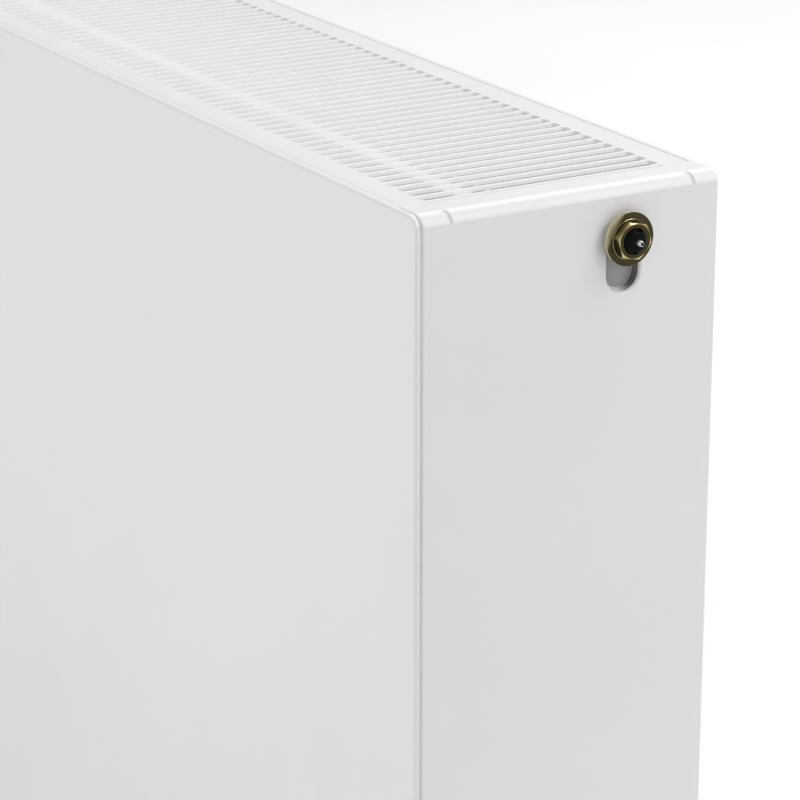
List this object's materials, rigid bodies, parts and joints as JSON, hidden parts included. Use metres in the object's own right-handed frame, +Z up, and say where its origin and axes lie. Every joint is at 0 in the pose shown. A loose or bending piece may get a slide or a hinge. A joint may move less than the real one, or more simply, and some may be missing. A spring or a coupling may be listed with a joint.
{
  "type": "panel radiator with valve",
  "caption": "Flat-fronted steel panel radiator with slotted top grille, folded side casings and a built-in brass thermostatic valve insert in an upright slot on the right end.",
  "frame": {"origin": "middle of the bounding box, at the bottom", "axes": "+X along the length towards the valve end, +Y from the flat front towards the wall, +Z up"},
  "size_m": [1.0144, 0.166, 0.6],
  "materials": {
    "white_enamel": "semi-gloss white powder coat",
    "primed_steel": "light grey primer",
    "brass": "turned, slightly tarnished",
    "nickel": "satin nickel plate",
    "steel": "ground stainless steel",
    "black_plastic": "satin moulded",
    "grey_plastic": "moulded",
    "white_plastic": "moulded",
    "rubber": "smooth",
    "fibre": "pressed fibre",
    "foam": "closed-cell foam tape"
  },
  "bodies": {
    "root": {"blanking_plugs": "nickel", "connection_bracket": "primed_steel", "drain_tee": "primed_steel", "front_convector": "white_enamel", "front_cross_tubes": "primed_steel", "front_panel_inner": "white_enamel", "front_panel_outer": "white_enamel", "front_plate": "white_enamel", "grille_clips": "steel", "grille_strap": "white_enamel", "hanging_lugs": "white_enamel", "insert_oring": "rubber", "middle_convector": "white_enamel", "middle_panel_inner": "white_enamel", "middle_panel_outer": "white_enamel", "plate_pads": "foam", "plug_washers": "fibre", "rear_convector": "white_enamel", "rear_panel_inner": "white_enamel", "rear_panel_outer": "white_enamel", "return_tee": "primed_steel", "riser_pipe": "primed_steel", "supply_socket": "primed_steel", "top_grille": "white_enamel", "valve_insert": "brass", "valve_tee": "primed_steel", "vent_plug": "nickel", "vent_tee": "primed_steel", "vent_washer": "fibre"},
    "right_cover": {"right_side_casing": "white_enamel"},
    "left_cover": {"left_side_casing": "white_enamel"},
    "presetting": {"preset_cap": "black_plastic", "preset_cage": "grey_plastic", "gland_bush": "brass", "gland_oring": "rubber", "valve_spring": "steel"},
    "valve_stem": {"push_pin": "steel", "spindle": "steel", "disc_holder": "brass", "valve_disc": "rubber"},
    "nozzle": {"vent_nozzle": "white_plastic"},
    "bleed": {"bleed_screw": "brass"}
  },
  "joints": [
    {"name": "right_casing_lift", "type": "slide", "parent": "root", "child": "right_cover", "axis": [0, 0, 1], "range_m": [0, 0.015]},
    {"name": "left_casing_lift", "type": "slide", "parent": "root", "child": "left_cover", "axis": [0, 0, 1], "range_m": [0, 0.015]},
    {"name": "presetting_turn", "type": "hinge", "parent": "root", "child": "presetting", "pos_m": [0.4928, 0.0242, 0.5764], "axis": [1, 0, 0], "range_deg": [0, 300]},
    {"name": "pin_push", "type": "slide", "parent": "root", "child": "valve_stem", "axis": [-1, 0, 0], "range_m": [0, 0.003], "stiffness_N_per_m": 5000, "springref_m": -0.003, "deforming": ["valve_spring"]},
    {"name": "vent_nozzle_swivel", "type": "hinge", "parent": "root", "child": "nozzle", "pos_m": [-0.5072, 0.0242, 0.5764], "axis": [-1, 0, 0], "continuous": true},
    {"name": "bleed_screw_turn", "type": "hinge", "parent": "root", "child": "bleed", "pos_m": [-0.5072, 0.0242, 0.5764], "axis": [-1, 0, 0], "range_deg": [0, 360]}
  ]
}
